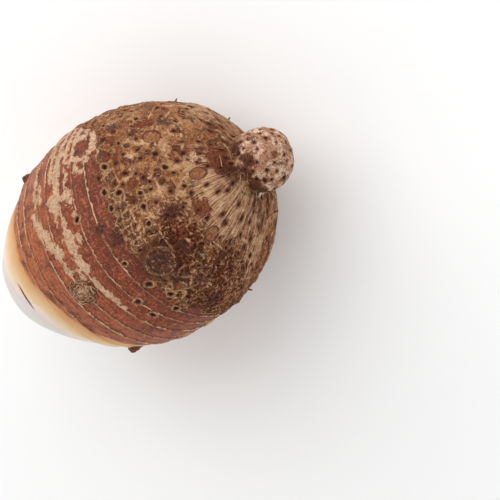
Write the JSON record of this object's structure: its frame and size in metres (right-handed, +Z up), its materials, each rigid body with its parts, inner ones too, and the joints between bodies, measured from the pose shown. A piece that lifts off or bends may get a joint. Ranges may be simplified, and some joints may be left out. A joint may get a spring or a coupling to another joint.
{
  "type": "taro corm",
  "caption": "Whole purple taro corm lying on its flank: ringed brown skin, corky root end with root scars and a round knob, trimmed pale crown.",
  "frame": {"origin": "on the surface that the corm rests on, under the middle of its bounding box", "axes": "+X along the corm, from the trimmed crown to the knob at the root end; +Z up; +Y across"},
  "size_m": [0.183, 0.1308, 0.1268],
  "materials": {
    "taro_skin": "dry fibrous brown skin with pale tan cork, satin on the ringed half and rough on the root half, shading to pinkish white at the trimmed crown"
  },
  "bodies": {
    "root": {"taro_corm": "taro_skin"}
  },
  "joints": []
}
